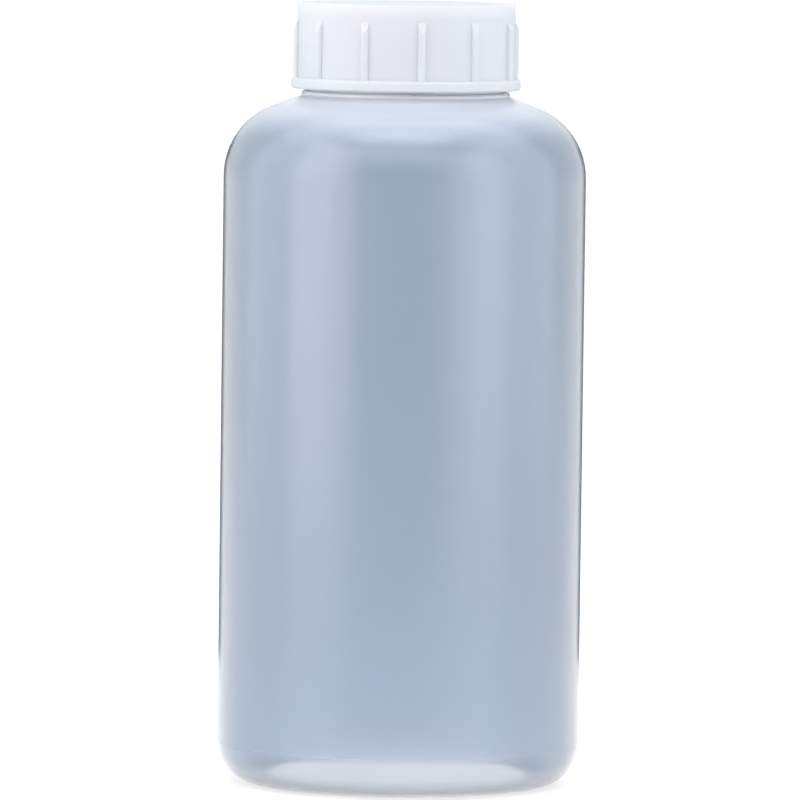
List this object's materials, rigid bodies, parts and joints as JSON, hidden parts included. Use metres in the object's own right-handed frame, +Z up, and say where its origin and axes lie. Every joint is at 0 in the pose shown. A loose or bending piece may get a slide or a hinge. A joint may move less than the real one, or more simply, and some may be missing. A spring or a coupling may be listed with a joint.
{
  "type": "reagent bottle",
  "caption": "Wide-mouth translucent plastic reagent bottle with a ribbed screw cap that unscrews and lifts off, taking the inner plug that seals the mouth with it.",
  "frame": {"origin": "centre of the base, on the surface that the bottle stands on", "axes": "+Z up along the bottle's axis; -Y is the front; the pinch-off seam under the base runs along X"},
  "size_m": [0.0948, 0.0948, 0.2046],
  "materials": {
    "bottle_plastic": "satin, translucent bluish polypropylene",
    "plug_plastic": "satin, milky polyethylene",
    "cap_plastic": "satin, translucent white polypropylene"
  },
  "bodies": {
    "bottle": {"bottle": "bottle_plastic"},
    "inner_plug": {"inner_plug": "plug_plastic"},
    "screw_cap": {"screw_cap": "cap_plastic"}
  },
  "joints": [
    {"name": "cap_lift", "type": "slide", "parent": "bottle", "child": "inner_plug", "axis": [0, 0, 1], "range_m": [0, 0.03]},
    {"name": "cap_turn", "type": "hinge", "parent": "inner_plug", "child": "screw_cap", "pos_m": [0, 0, 0.2046], "axis": [0, 0, 1], "range_deg": [0, 2160]}
  ],
  "couplings": [
    {"joint": "cap_lift", "follows": "cap_turn", "m_per_rad": 0.00079577}
  ]
}
